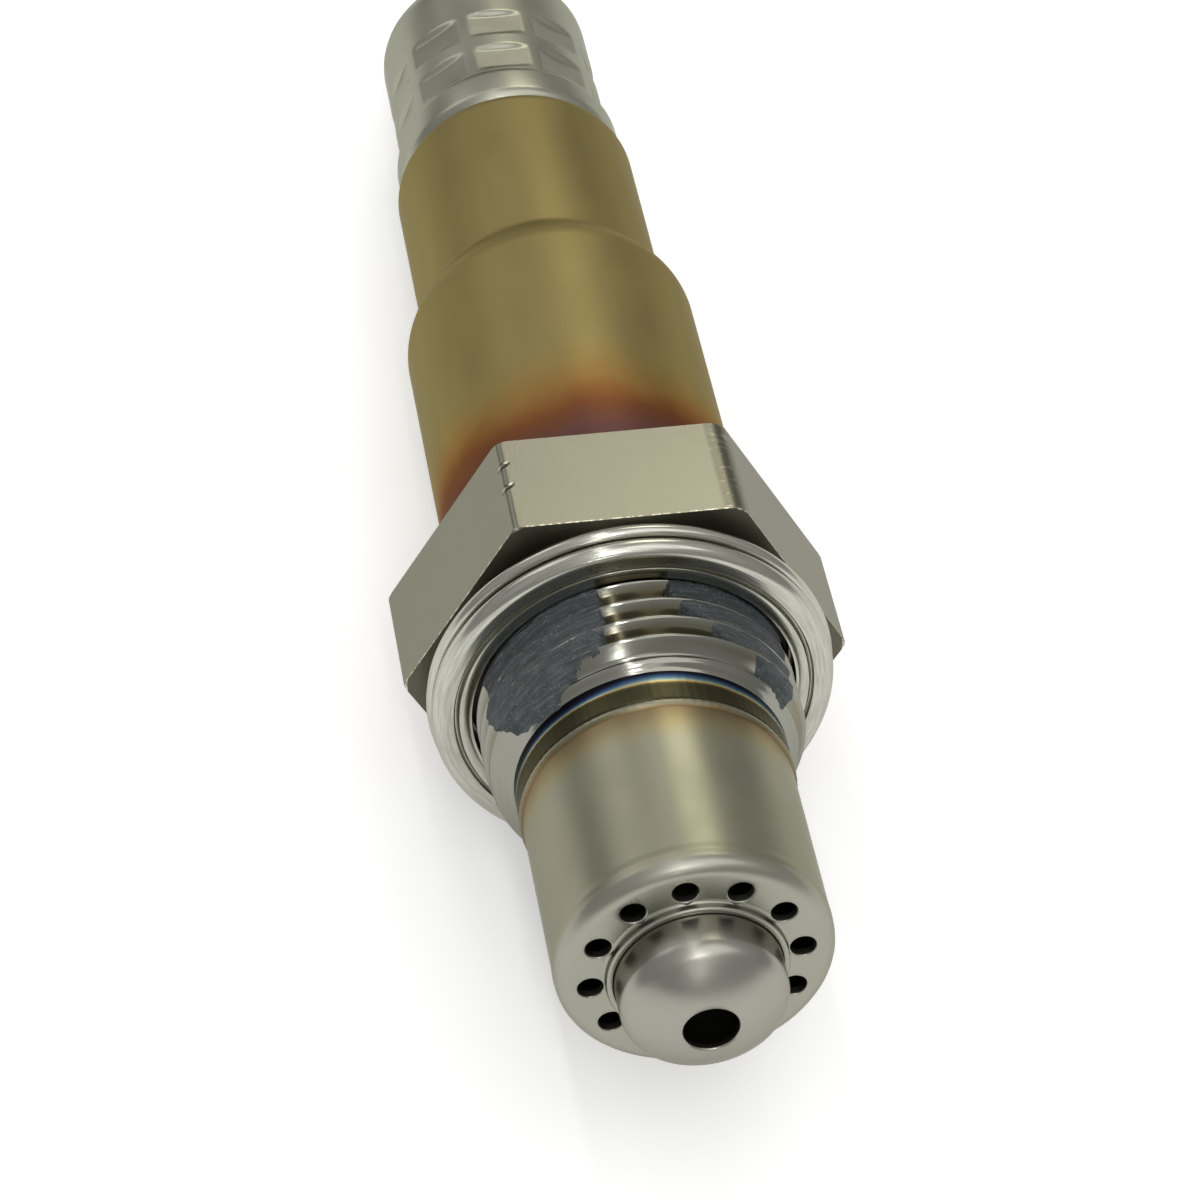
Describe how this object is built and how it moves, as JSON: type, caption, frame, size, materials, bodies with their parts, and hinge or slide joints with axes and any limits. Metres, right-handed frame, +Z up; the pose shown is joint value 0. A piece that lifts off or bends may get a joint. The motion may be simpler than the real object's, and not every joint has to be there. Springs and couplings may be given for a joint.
{
  "type": "exhaust oxygen sensor",
  "caption": "Exhaust oxygen sensor: hexagon and thread with folded gasket, perforated protection tube with domed nose, stepped sleeve and crimped cap with wire grommet.",
  "frame": {"origin": "centre of the bounding box's footprint, on the surface the sensor lies on", "axes": "-Y towards the gas end and +Y towards the tail, the sensor's axis raised 4.76 degrees at the gas end; +Z up; +X across"},
  "size_m": [0.0254, 0.0916, 0.0232],
  "materials": {
    "tube_steel": "satin stainless steel, tinted near the weld",
    "nose_steel": "satin stainless steel",
    "housing_steel": "satin stainless steel with grey thread paste",
    "gasket_steel": "bright cold-rolled sheet",
    "sleeve_steel": "satin stainless steel with a warm heat tint",
    "cap_steel": "matt stainless steel",
    "grommet_rubber": "matt moulded rubber",
    "bush_ceramic": "fired, unglazed",
    "packed_powder": "pressed powder",
    "element_ceramic": "sintered strip",
    "spring_steel": "rolled spring strip",
    "contact_metal": "bright stamped strip",
    "guide_plastic": "smooth white"
  },
  "bodies": {
    "root": {"inner_protection_tube": "nose_steel", "outer_protection_tube": "tube_steel", "housing": "housing_steel", "sealing_gasket": "gasket_steel", "protective_sleeve": "sleeve_steel", "crimp_cap": "cap_steel", "grommet": "grommet_rubber", "sensing_element": "element_ceramic", "front_ceramic_bush": "bush_ceramic", "powder_packing": "packed_powder", "rear_ceramic_bush": "bush_ceramic", "press_ring": "spring_steel", "contact_holder_upper": "bush_ceramic", "contact_holder_lower": "bush_ceramic", "contact_clamp": "spring_steel", "preload_spring": "spring_steel", "wire_guide": "guide_plastic", "contact_spring_1": "contact_metal", "contact_spring_2": "contact_metal", "contact_spring_3": "contact_metal", "contact_spring_4": "contact_metal", "contact_spring_5": "contact_metal"}
  },
  "joints": []
}
